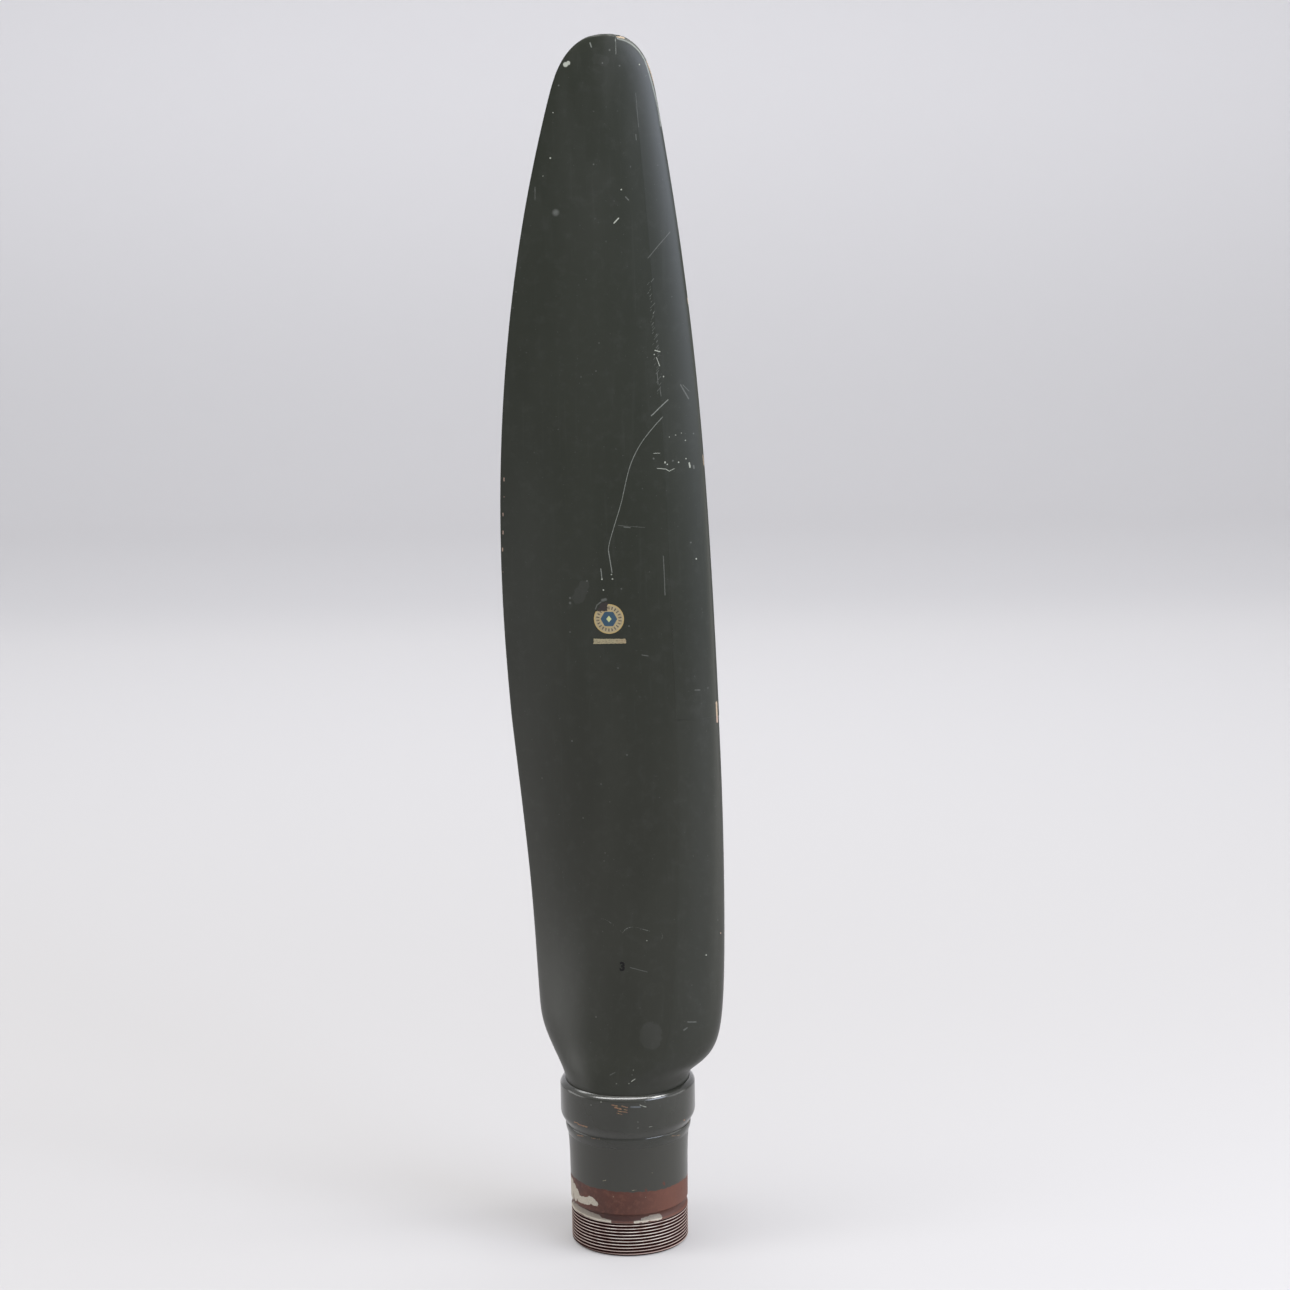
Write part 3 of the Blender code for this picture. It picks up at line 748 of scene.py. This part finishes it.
def roundLabel():
    look = label
    chance = random.Random(look["seed"])
    steps = [look["hub"] + (look["radius"] - look["hub"]) * i / look["rings"]
             for i in range(look["rings"] + 1)]
    angles = [2 * math.pi * j / look["sectors"] for j in range(look["sectors"])]
    flat = [(r * math.cos(a), r * math.sin(a)) for r in steps for a in angles]
    rough = [chance.uniform(-1, 1) * look["tearRough"] for corner in flat]

    def kept(i, j):
        u, v = flat[i * look["sectors"] + j]
        shake = rough[i * look["sectors"] + j]
        return not (u < look["tear"][0] + shake and v > look["tear"][1] + shake)
    faces = [face[::-1] for face in grid(len(steps), look["sectors"], kept, around=True)]
    faces.append(tuple(range(look["sectors"])))
    closedSheet("roundLabel", flat, faces, laying(look["middle"], 0.0), labelMaterial())


def labelMaterial():
    look = label
    material, flat = newMaterial("labelPrint", 2)
    u, v = flat.axis("X"), flat.axis("Y")
    radius, angle = flat.fromAxis(), v.calc("ARCTAN2", u)
    fine = flat.noise(*look["fine"])
    color = flat.noise(*look["stainPatch"]).blend(look["cream"], look["stain"])
    mark = ((angle * (look["marks"] / (2 * math.pi))).calc("FRACT") - 0.5).calc("ABSOLUTE")
    band = radius.step(*look["markFrom"]) * radius.step(*look["markTo"])
    mark = mark.step(*look["markWidth"]) * band * fine.step(*look["markWear"])
    color = mark.blend(color, look["print"])
    inner = radius.step(*look["innerRimFrom"]) * radius.step(*look["innerRimTo"])
    color = radius.step(*look["rimFrom"]).atLeast(inner).blend(color, look["gold"])
    turn = ((angle / (math.pi / 3)).calc("FRACT") - 0.5) * (math.pi / 3)
    inside = (radius * turn.calc("COSINE")).step(*look["hexagon"])
    color = inside.blend(color, fine.step(*look["blueWear"]).blend(look["blue"], look["blueWorn"]))
    diamond = (u.calc("ABSOLUTE") + v.calc("ABSOLUTE") * look["diamondTall"]).step(*look["diamondSize"])
    color = diamond.blend(color, look["diamond"])
    color = flat.noise(*look["scuffPatch"]).blend(color, look["scuff"])
    feed(material, color, look["matt"] + fine * look["mattBy"], fine, look["bumpDepth"])
    return material


# Narrow strip under the label, blank and rubbed
strip = {
    "middle": (609.6, 641.3), "turn": 1.4, "size": (37.8, 6), "narrowed": 0.14, "columns": 76,
    "rows": 9, "rough": 0.28, "seed": 8, "cream": (0.3, 0.258, 0.15), "rub": (0.106, 0.085, 0.054),
    "brown": (0.33, 0.2, 0.1), "brownFrom": (2, 16, 0.5), "fine": (1.5, 71, 3, 0.6),
    "rubbed": (0.55, 72, 4, 0.65, 0.46, 0.62), "rubbedLong": (1, 1.6, 1), "rubbedFrom": (2.6, 1.4, 0.8),
    "brownPatch": (0.4, 0.6), "matt": 0.5, "mattBy": 0.15, "bumpDepth": 0.02}


def labelStrip():
    look = strip
    chance = random.Random(look["seed"])
    wide, tall = look["size"]
    flat = []
    for i in range(look["rows"]):
        for j in range(look["columns"]):
            share, rise = j / (look["columns"] - 1), i / (look["rows"] - 1) - 0.5
            shake = chance.uniform(-1, 1) * look["rough"]
            edge = abs(rise) == 0.5
            v = rise * tall * (1 - look["narrowed"] * share) + (shake if edge else 0)
            u = (share - 0.5) * wide + (shake * 2 if share in (0, 1) else 0)
            flat.append((u, v))
    closedSheet("labelStrip", flat, grid(look["rows"], look["columns"]),
                laying(look["middle"], look["turn"]), stripMaterial())


def stripMaterial():
    look = strip
    material, flat = newMaterial("stripPaper", 2)
    fine = flat.noise(*look["fine"])
    middle = flat.axis("Y").calc("ABSOLUTE").step(*look["rubbedFrom"])
    rubbed = flat.stretched(*look["rubbedLong"]).noise(*look["rubbed"]) * middle
    brown = flat.axis("X").step(*look["brownFrom"]) * fine.step(*look["brownPatch"])
    color = brown.blend(rubbed.blend(look["cream"], look["rub"]), look["brown"])
    feed(material, color, look["matt"] + fine * look["mattBy"], fine, look["bumpDepth"])
    return material


# Position number of the blade, painted low on its face
figure = {
    "middle": (622.2, 967), "turn": -1, "text": "3", "size": 14, "bold": 0.7,
    "ink": (0.003, 0.0031, 0.0028), "inkWorn": (0.0065, 0.007, 0.006),
    "wear": (900, 81, 3, 0.6), "wornFrom": (0.45, 0.75), "satin": 0.34, "satinBy": 0.1, "shine": 0.3,
    "resolution": 8, "merge": 1e-4}


def bladeFigure():
    look = figure
    curve = bpy.data.curves.new("bladeFigure", "FONT")
    curve.body = look["text"]
    curve.align_x = curve.align_y = "CENTER"
    curve.size = look["size"]
    curve.offset = look["bold"]
    curve.extrude = 1.0  # only tells its top from its underside
    curve.resolution_u = look["resolution"]
    source = linked("bladeFigureText", curve)
    bm = welded(finalMesh(source), look["merge"])
    bpy.data.objects.remove(source)
    material, place = newMaterial("figureInk")
    fine = place.noise(*look["wear"])
    color = fine.step(*look["wornFrom"]).blend(look["ink"], look["inkWorn"])
    feed(material, color, look["satin"] + fine * look["satinBy"], Specular_IOR_Level=look["shine"])
    land = laying(look["middle"], look["turn"])
    bmesh.ops.triangulate(bm, faces=[face for face in bm.faces if len(face.verts) > 4])
    for vertex in bm.verts:
        height = sheet["over"] if vertex.co.z > 0 else sheet["under"]
        vertex.co = land(vertex.co.x, vertex.co.y, height)
    finishPiece(bm, "bladeFigure", material)


roundLabel()
labelStrip()
bladeFigure()
print("label, strip and figure laid on the skin")


# Turned pieces: an outline of (radius, height) in mm, swung round the axis, with a thread cut into it
# where a depth is given. The flank is the share of a turn from the root's edge to the crest's
turning = {
    "segments": 192, "spindle": 10, "sharp": 38, "merge": 1e-6, "flank": (0.36, 0.79),
    "fadeOut": 1.5, "margin": 0.1}


def turningTree():
    tree = bpy.data.node_groups.new("turnedPiece", "GeometryNodeTree")
    kinds = {"Geometry": "Geometry", "Segments": "Int"}
    for name in ("Geometry", "Segments", "Spindle", "Thread Radius", "Thread Pitch", "Thread Depth",
                 "Thread From", "Thread To"):
        kind = "NodeSocket" + kinds.get(name, "Float")
        tree.interface.new_socket(name, in_out="INPUT", socket_type=kind)
    tree.interface.new_socket("Geometry", in_out="OUTPUT", socket_type="NodeSocketGeometry")
    start = Wire(tree)
    size = {socket.name: Wire(tree, socket) for socket in tree.nodes.new("NodeGroupInput").outputs}
    outline = start.make("GeometryNodeMeshToCurve", None, {0: size["Geometry"]})
    path = start.make("GeometryNodeCurvePrimitiveCircle", None,
                      {"Resolution": size["Segments"], "Radius": size["Spindle"]})
    turned = start.make("GeometryNodeCurveToMesh", None, {"Curve": path, "Profile Curve": outline})
    place = start.make("GeometryNodeInputPosition")
    x, y, z = (place.axis(name) for name in "XYZ")
    radius = place.fromAxis()
    turn = y.calc("ARCTAN2", x) / (2 * math.pi)
    phase = ((z - size["Thread From"]) / size["Thread Pitch"] - turn).calc("FRACT")
    slope = (phase - 0.5).calc("ABSOLUTE") * 2
    low, high = turning["flank"]
    groove = 1 - start.make("ShaderNodeMapRange", None, {0: slope, 1: low, 2: high})
    fadeOut = turning["fadeOut"] * mm
    fade = z.step(size["Thread From"] - fadeOut, size["Thread From"] + fadeOut)
    fade = fade * z.step(size["Thread To"] + fadeOut, size["Thread To"] - fadeOut)
    outside = radius.calc("GREATER_THAN", size["Thread Radius"] - turning["margin"] * mm)
    depth = groove * fade * outside * size["Thread Depth"]
    inward = depth / radius * -1
    shift = start.make("ShaderNodeCombineXYZ", None, {0: x * inward, 1: y * inward})
    cut = start.make("GeometryNodeSetPosition", None, {"Geometry": turned, "Offset": shift})
    tree.links.new(cut.socket, tree.nodes.new("NodeGroupOutput").inputs[0])
    return tree


turnedPiece = turningTree()


def turnedFrom(outline, name, nodeName, material, thread=None):
    bm = bmesh.new()
    corners = [bm.verts.new(((r - turning["spindle"]) * mm, -z * mm, 0.0)) for r, z in outline]
    for first, second in zip(corners, corners[1:] + corners[:1]):
        bm.edges.new((first, second))
    source = linked(name + "Outline", meshFrom(bm, name + "Outline"))
    modifier = source.modifiers.new("turning", "NODES")
    modifier.node_group = turnedPiece
    values = {"Segments": turning["segments"], "Spindle": turning["spindle"] * mm,
              "Thread Radius": 1.0, "Thread Pitch": 1.0}
    values.update({"Thread " + key: value * mm for key, value in (thread or {}).items()})
    for item in turnedPiece.interface.items_tree:
        if item.in_out == "INPUT" and item.name in values:
            modifier[item.identifier] = values[item.name]
    bm = welded(finalMesh(source), turning["merge"])
    bmesh.ops.recalc_face_normals(bm, faces=bm.faces)
    shape = meshFrom(bm, name)
    shape.materials.append(material)
    shape.shade_smooth()
    shape.set_sharp_from_angle(angle=math.radians(turning["sharp"]))
    piece = linked(name, shape)
    bpy.data.objects.remove(source)
    bind(piece, nodeName)


# Gloss paint of the rings over red primer, rubbed brighter along the collar's top edge
ringPaint = {
    "paint": (0.0205, 0.0213, 0.0148), "shade": (0.0262, 0.027, 0.0202), "shadeFrom": (0.35, 0.65),
    "scuff": (0.16, 0.18, 0.2), "slow": (24, 31, 3, 0.5), "fine": (420, 32, 2, 0.6),
    "speck": (1300, 33, 1, 0.5, 0.74, 0.8, 0.3), "wave": (45, 35, 1, 0.5), "peel": (700, 36, 1, 0.5),
    "shake": (1100, 1.8, 34), "marks": {"grey": (0.6, 1), "rust": (0.4, 1), "pale": (0.3, 1)},
    "broken": (1100, 38, 2, 0.6, 0.38, 0.5),
    "ochre": (900, 37, 1, 0.5, 0.42, 0.58), "rustShare": (0.35, 0.9),
    "gloss": 0.16, "roughBy": {"slow": 0.06, "fine": 0.05, "rust": 0.25, "pale": 0.2},
    "bumpBy": {"wave": 0.22, "peel": 0.006, "rust": -0.4, "pale": -0.4}, "bumpDepth": 0.1,
    "shine": 0.62, "rubbedFrom": (0.1985, 0.2, 0.9), "rubbedGloss": 0.12}


def paintedRing(name, nodeName):
    look = ringPaint
    material, place = newMaterial(name)
    parts = {part: place.noise(*look[part]) for part in ("slow", "fine", "wave", "peel")}
    masks = strokeMasks(place.ragged(*look["shake"]), nodeName, ringChips, look["marks"])
    rust = masks["rust"] * place.noise(*look["broken"])
    color = parts["slow"].step(*look["shadeFrom"]).blend(look["paint"], look["shade"])
    color = place.noise(*look["speck"]).blend(color, tones["grey"])
    color = (masks["grey"] * parts["fine"]).blend(color, look["scuff"])
    ochre = place.noise(*look["ochre"]).blend(tones["rust"], tones["ochre"])
    least, more = look["rustShare"]
    color = (rust * (least + parts["fine"] * more)).blend(color, ochre)
    color = masks["pale"].blend(color, tones["pale"])
    parts.update({"rust": rust, "pale": masks["pale"]})
    feed(material, color, summed(parts, look["roughBy"], look["gloss"]), summed(parts, look["bumpBy"]),
         look["bumpDepth"], Specular_IOR_Level=look["shine"],
         Coat_Weight=place.axis("Z").step(*look["rubbedFrom"]), Coat_Roughness=look["rubbedGloss"])
    return material


# Wide ring with a rounded lip and a tapered underside, in mm
collar = {
    "inside": [(73.75, 203.2), (73.75, 190), (71.3, 190), (71.3, 149.8)], "outer": 80.4, "top": 203.4,
    "lip": [(0, 45, 6), (45, 66, 12.5), (66, 90, 2)], "lipSteps": 8,
    "taper": [(74.3, 149.8), (74.55, 150.6), (75.6, 152.5), (77.3, 155.4), (78.9, 158.3),
              (79.9, 161), (80.4, 164), (80.4, 180)]}


def collarOutline():
    c = collar
    lip = [(c["outer"], 0)]  # each stretch: facing from, facing to, radius of its curve
    for start, end, bend in c["lip"]:
        turn = math.radians(end - start) / c["lipSteps"]
        for i in range(c["lipSteps"]):
            facing = math.radians(start) + turn * (i + 0.5)
            lip.append((lip[-1][0] - bend * math.sin(facing) * turn,
                        lip[-1][1] + bend * math.cos(facing) * turn))
    low = c["top"] - lip[-1][1]
    return c["inside"] + c["taper"] + [(radius, low + rise) for radius, rise in lip]


# Narrow bead ring under it
sealRing = {
    "inside": [(74.1, 149.75), (71.3, 149.75), (71.3, 136.5)],
    "face": [(72.45, 136.5), (72.7, 137.3), (73.3, 139), (74.1, 141.6), (74.65, 143.8),
             (74.9, 145.4), (75, 146.6), (74.95, 147.7), (74.8, 148.6), (74.5, 149.3)]}

turnedFrom(collarOutline(), "collarRing", "ferrule_collar",
           paintedRing("collarPaint", "ferrule_collar"))
turnedFrom(sealRing["inside"] + sealRing["face"], "sealRing", "ferrule_seal_ring",
           paintedRing("sealPaint", "ferrule_seal_ring"))
print("collar and seal ring turned")


# Steel sleeve with its external thread, in mm
sleeve = {
    "foot": [(58, 190), (58, 1.5), (59.5, 0), (66.8, 0), (69.1, 2), (69.7, 2.7), (70, 3.4)],
    "thread": {"From": 4, "To": 41, "Radius": 70, "Pitch": 4, "Depth": 2.3},
    "threadTop": 43.2, "threadSteps": 117, "groove": ((70.4, 48.4), (3.2, 4.6), 250, 110, 14),
    "body": [(70.15, 53.7), (70.3, 72), (70.7, 108), (71.3, 124), (72.1, 134), (72.4, 136.45),
             (71, 136.45), (71, 190)]}


def sleeveOutline():
    s = sleeve
    radius, low = s["foot"][-1]
    rise = (s["threadTop"] - low) / s["threadSteps"]
    thread = [(radius, low + rise * i) for i in range(1, s["threadSteps"] + 1)]
    return s["foot"] + thread + arc(*s["groove"]) + s["body"]


# Its finish, grey paint above and red primer below, with heights and radii in mm. A wobble of the paint's
# lower edge is a stretch of the place, a noise and a reach
sleeveFinish = {
    "paint": (0.03, 0.0298, 0.0225), "edgeFrom": (81.5, 82.5), "edgeSlant": 0.03,
    "wobbles": [((1, 1, 0.2), (45, 43, 3, 0.5), 7), ((1, 1, 1), (230, 47, 4, 0.7), 5)],
    "primer": (0.083, 0.0205, 0.0092), "primerFrom": (0.3, 0.7), "slow": (30, 41, 3, 0.55),
    "fine": (500, 42, 3, 0.6),
    "primerRight": (0.125, 0.0395, 0.021), "rightFrom": (-20, 51.43, 0.75),
    "mottled": (170, 48, 4, 0.65), "primerLight": (0.138, 0.05, 0.028), "lightFrom": (0.5, 0.62, 0.4),
    "primerDark": (0.048, 0.0112, 0.0052), "darkFrom": (0.44, 0.34, 0.55),
    "rubShake": (300, 6, 49), "rub": (110, 50, 3, 0.6, 0.66, 0.69), "rubFrom": (98, 84),
    "shake": (320, 3, 44), "marks": {"bare": (0.04, 1), "pale": (0.3, 1)},
    "paleChip": (0.3, 0.27, 0.18), "steel": (0.5, 0.455, 0.375), "steelDark": (0.38, 0.34, 0.28),
    "steelFrom": (0.3, 0.75),
    "threadBelow": (42.6, 41.4), "crestFrom": (69.58, 69.92), "root": (0.026, 0.0065, 0.0045),
    "crest": (0.78, 0.69, 0.62), "crestRed": (0.26, 0.115, 0.085), "sideFrom": (36, 66, 0.5),
    "worn": (60, 45, 3, 0.6, 0.45, 0.62, 0.5), "dullBelow": (17, 3, 0.6), "hollowFrom": (69.6, 68.4, 0.45),
    "satin": 0.24, "roughBy": {"slow": 0.06, "fine": 0.06, "primed": 0.3, "bare": 0.05},
    "wave": (60, 46, 1, 0.5), "bumpBy": {"wave": 0.4, "primedFine": 0.12, "bare": -0.9}, "bumpDepth": 0.12,
    "metalBy": {"flake": 0.2, "crest": 0.3}, "shine": 0.57, "rootDull": 0.85}


def sleeveMaterial():
    look = sleeveFinish
    material, place = newMaterial("sleevePaint")
    x, height, radius = place.axis("X") / mm, place.axis("Z") / mm, place.fromAxis() / mm
    parts = {part: place.noise(*look[part]) for part in ("slow", "fine", "wave")}
    slow, fine = parts["slow"], parts["fine"]
    edge = height + x * look["edgeSlant"]
    for stretch, noise, reach in look["wobbles"]:
        edge = edge + (place.stretched(*stretch).noise(*noise) - 0.5) * reach
    painted = edge.step(*look["edgeFrom"])
    primer = slow.step(*look["primerFrom"]).blend(look["primerDark"], look["primer"])
    mottled = place.noise(*look["mottled"])
    primer = mottled.step(*look["lightFrom"]).blend(primer, look["primerLight"])
    primer = mottled.step(*look["darkFrom"]).blend(primer, look["primerDark"])
    primer = x.step(*look["rightFrom"]).blend(primer, look["primerRight"])
    color = painted.blend(primer, look["paint"])
    rubbed = place.ragged(*look["rubShake"]).noise(*look["rub"]) * height.step(*look["rubFrom"])
    color = rubbed.blend(color, look["primer"])
    masks = strokeMasks(place.ragged(*look["shake"]), "ferrule_sleeve", sleeveFlakes, look["marks"])
    bare = masks["bare"]
    color = bare.blend(color, fine.step(*look["steelFrom"]).blend(look["steelDark"], look["steel"]))
    color = masks["pale"].blend(color, look["paleChip"])
    threaded, crest = height.step(*look["threadBelow"]), radius.step(*look["crestFrom"])
    side = x.calc("ABSOLUTE").step(*look["sideFrom"])
    red = place.noise(*look["worn"]).atLeast(side).atLeast(height.step(*look["dullBelow"]))
    thread = crest.blend(look["root"], red.blend(look["crest"], look["crestRed"]))
    color = threaded.blend(color, thread)
    hollow = radius.step(*look["hollowFrom"]) * (1 - threaded)
    color = hollow.blend(color, look["root"])
    parts.update({"bare": bare, "primed": 1 - painted, "primedFine": fine * (1 - painted),
                  "flake": bare * (1 - threaded), "crest": threaded * crest})
    shine = (1 - threaded * (1 - crest) * look["rootDull"]) * look["shine"]
    feed(material, color, summed(parts, look["roughBy"], look["satin"]), summed(parts, look["bumpBy"]),
         look["bumpDepth"], Metallic=summed(parts, look["metalBy"]), Specular_IOR_Level=shine)
    return material


turnedFrom(sleeveOutline(), "threadedSleeve", "ferrule_sleeve", sleeveMaterial(),
           sleeve["thread"])
print("threaded sleeve turned")


# Balance plug under the root: turned light metal, left as packed and given its finish
plugFinish = {
    "dark": (0.22, 0.21, 0.19), "light": (0.4, 0.39, 0.37), "patch": (60, 53, 3, 0.6, 0.3, 0.7),
    "rings": 9000, "ringShare": 0.5, "wave": (40, 51, 2, 0.5), "fine": (600, 52, 2, 0.6),
    "satin": 0.35, "fineShare": 0.2, "bumpDepth": 0.02, "metal": 0.9}


def plugMaterial():
    look = plugFinish
    material, place = newMaterial("plugMetal")
    rings = (place.fromAxis() * look["rings"]).calc("SINE") * look["ringShare"]
    color = place.noise(*look["patch"]).blend(look["dark"], look["light"])
    feed(material, color, look["satin"] + place.noise(*look["fine"]) * look["fineShare"],
         rings + place.noise(*look["wave"]), look["bumpDepth"], Metallic=look["metal"])
    return material


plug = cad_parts["root_plug"]
plug.data.materials.clear()
plug.data.materials.append(plugMaterial())
print("plug finished")
